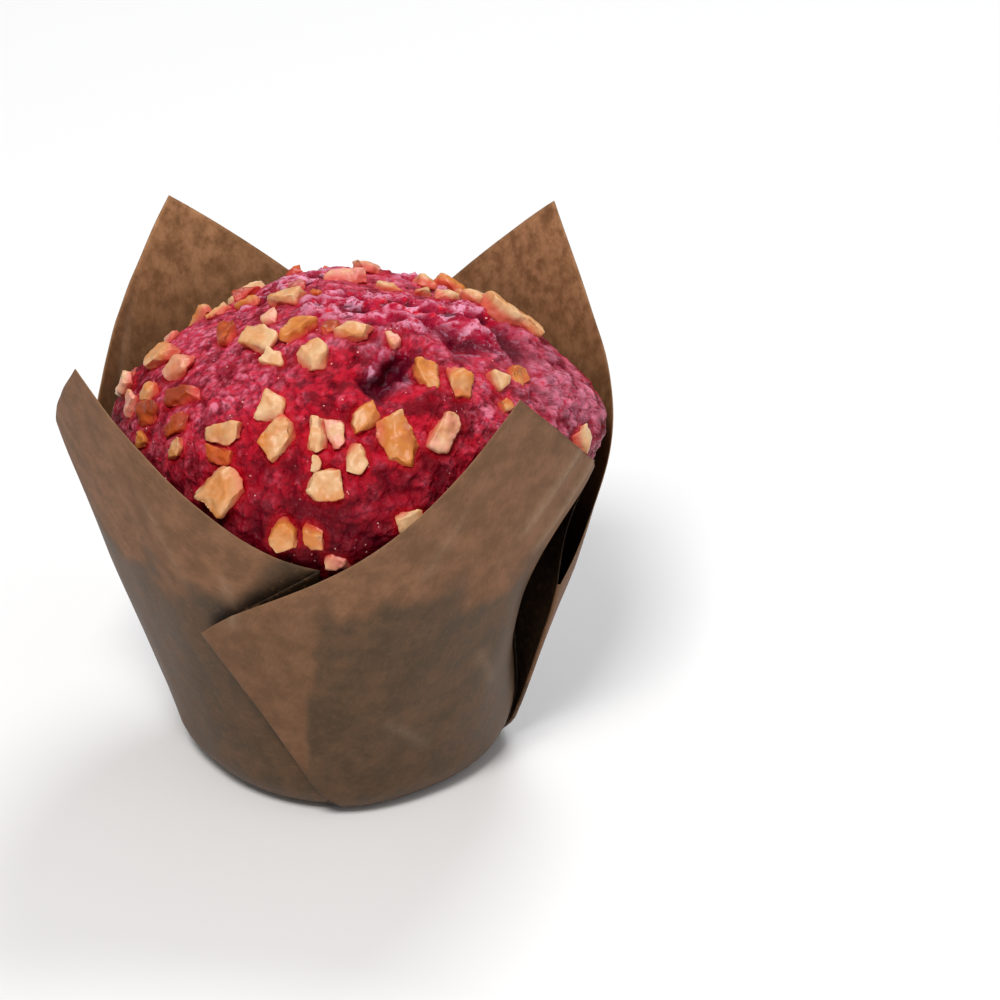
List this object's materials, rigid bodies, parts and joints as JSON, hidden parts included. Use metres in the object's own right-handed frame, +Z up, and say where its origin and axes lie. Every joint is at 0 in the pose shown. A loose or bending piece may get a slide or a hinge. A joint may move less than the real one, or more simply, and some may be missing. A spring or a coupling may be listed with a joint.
{
  "type": "muffin in a paper case",
  "caption": "Tall domed muffin with chopped nuts baked into its cracked crust, standing in a pleated paper case whose corners rise as petals.",
  "frame": {"origin": "middle of the paper case's flat underside", "axes": "+Z up; the camera's side is -Y, and the petals point to the diagonals"},
  "size_m": [0.0851, 0.0828, 0.0827],
  "materials": {
    "cake": "baked crimson crumb, matt and powdery on top",
    "baking_paper": "brown greaseproof paper, matt"
  },
  "bodies": {
    "root": {"muffin": "cake", "paper_case": "baking_paper"}
  },
  "joints": []
}
